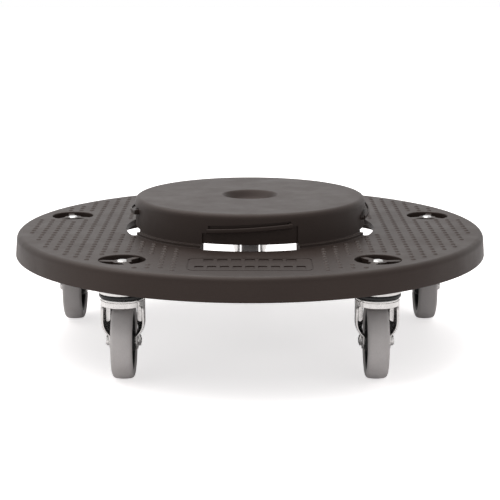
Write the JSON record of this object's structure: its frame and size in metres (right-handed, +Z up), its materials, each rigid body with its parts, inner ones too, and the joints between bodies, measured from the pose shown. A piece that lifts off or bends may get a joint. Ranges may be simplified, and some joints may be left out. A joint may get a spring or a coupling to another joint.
{
  "type": "twist-lock container dolly",
  "caption": "Round moulded dolly for a bin or drum: raised centre disc with twist-lock lugs, on swivel casters that trail and roll freely.",
  "frame": {"origin": "on the floor under the centre of the deck", "axes": "+Z up, -Y towards the front with the plain name panel, +X to the right seen from the front"},
  "size_m": [0.4636, 0.4636, 0.1435],
  "materials": {
    "deck_plastic": "dark brown-black structural foam polyethylene with a fine satin grain",
    "zinc_steel": "bright zinc-plated pressed steel",
    "spring_steel": "oiled hardened steel",
    "black_seal": "black nylon dust ring",
    "wheel_hub": "black moulded hub",
    "grey_tyre": "grey non-marking rubber tread"
  },
  "bodies": {
    "root": {"deck": "deck_plastic", "front_left_stem": "zinc_steel", "front_left_grip_ring": "spring_steel", "front_left_top_plate": "zinc_steel", "front_right_stem": "zinc_steel", "front_right_grip_ring": "spring_steel", "front_right_top_plate": "zinc_steel", "rear_right_stem": "zinc_steel", "rear_right_grip_ring": "spring_steel", "rear_right_top_plate": "zinc_steel", "rear_stem": "zinc_steel", "rear_grip_ring": "spring_steel", "rear_top_plate": "zinc_steel", "rear_left_stem": "zinc_steel", "rear_left_grip_ring": "spring_steel", "rear_left_top_plate": "zinc_steel"},
    "front_left_swivel": {"front_left_dust_ring": "black_seal", "front_left_ball_cage": "spring_steel", "front_left_fork": "zinc_steel", "front_left_axle_bolt": "zinc_steel", "front_left_axle_nut": "zinc_steel", "front_left_axle_bush": "zinc_steel"},
    "front_left_wheel": {"front_left_hub": "wheel_hub", "front_left_tyre": "grey_tyre"},
    "front_right_swivel": {"front_right_dust_ring": "black_seal", "front_right_ball_cage": "spring_steel", "front_right_fork": "zinc_steel", "front_right_axle_bolt": "zinc_steel", "front_right_axle_nut": "zinc_steel", "front_right_axle_bush": "zinc_steel"},
    "front_right_wheel": {"front_right_hub": "wheel_hub", "front_right_tyre": "grey_tyre"},
    "rear_right_swivel": {"rear_right_dust_ring": "black_seal", "rear_right_ball_cage": "spring_steel", "rear_right_fork": "zinc_steel", "rear_right_axle_bolt": "zinc_steel", "rear_right_axle_nut": "zinc_steel", "rear_right_axle_bush": "zinc_steel"},
    "rear_right_wheel": {"rear_right_hub": "wheel_hub", "rear_right_tyre": "grey_tyre"},
    "rear_swivel": {"rear_dust_ring": "black_seal", "rear_ball_cage": "spring_steel", "rear_fork": "zinc_steel", "rear_axle_bolt": "zinc_steel", "rear_axle_nut": "zinc_steel", "rear_axle_bush": "zinc_steel"},
    "rear_wheel": {"rear_hub": "wheel_hub", "rear_tyre": "grey_tyre"},
    "rear_left_swivel": {"rear_left_dust_ring": "black_seal", "rear_left_ball_cage": "spring_steel", "rear_left_fork": "zinc_steel", "rear_left_axle_bolt": "zinc_steel", "rear_left_axle_nut": "zinc_steel", "rear_left_axle_bush": "zinc_steel"},
    "rear_left_wheel": {"rear_left_hub": "wheel_hub", "rear_left_tyre": "grey_tyre"}
  },
  "joints": [
    {"name": "front_left_swivel_turn", "type": "hinge", "parent": "root", "child": "front_left_swivel", "pos_m": [-0.11403, -0.15695, 0.08], "axis": [0, 0, 1], "continuous": true},
    {"name": "front_left_wheel_spin", "type": "hinge", "parent": "front_left_swivel", "child": "front_left_wheel", "pos_m": [-0.11403, -0.15095, 0.035], "axis": [1, 0, 0], "continuous": true},
    {"name": "front_right_swivel_turn", "type": "hinge", "parent": "root", "child": "front_right_swivel", "pos_m": [0.11403, -0.15695, 0.08], "axis": [0, 0, 1], "continuous": true},
    {"name": "front_right_wheel_spin", "type": "hinge", "parent": "front_right_swivel", "child": "front_right_wheel", "pos_m": [0.11403, -0.15095, 0.035], "axis": [1, 0, 0], "continuous": true},
    {"name": "rear_right_swivel_turn", "type": "hinge", "parent": "root", "child": "rear_right_swivel", "pos_m": [0.18451, 0.05995, 0.08], "axis": [0, 0, 1], "continuous": true},
    {"name": "rear_right_wheel_spin", "type": "hinge", "parent": "rear_right_swivel", "child": "rear_right_wheel", "pos_m": [0.18451, 0.06595, 0.035], "axis": [1, 0, 0], "continuous": true},
    {"name": "rear_swivel_turn", "type": "hinge", "parent": "root", "child": "rear_swivel", "pos_m": [0, 0.194, 0.08], "axis": [0, 0, 1], "continuous": true},
    {"name": "rear_wheel_spin", "type": "hinge", "parent": "rear_swivel", "child": "rear_wheel", "pos_m": [0, 0.188, 0.035], "axis": [1, 0, 0], "continuous": true},
    {"name": "rear_left_swivel_turn", "type": "hinge", "parent": "root", "child": "rear_left_swivel", "pos_m": [-0.18451, 0.05995, 0.08], "axis": [0, 0, 1], "continuous": true},
    {"name": "rear_left_wheel_spin", "type": "hinge", "parent": "rear_left_swivel", "child": "rear_left_wheel", "pos_m": [-0.18451, 0.06595, 0.035], "axis": [1, 0, 0], "continuous": true}
  ]
}
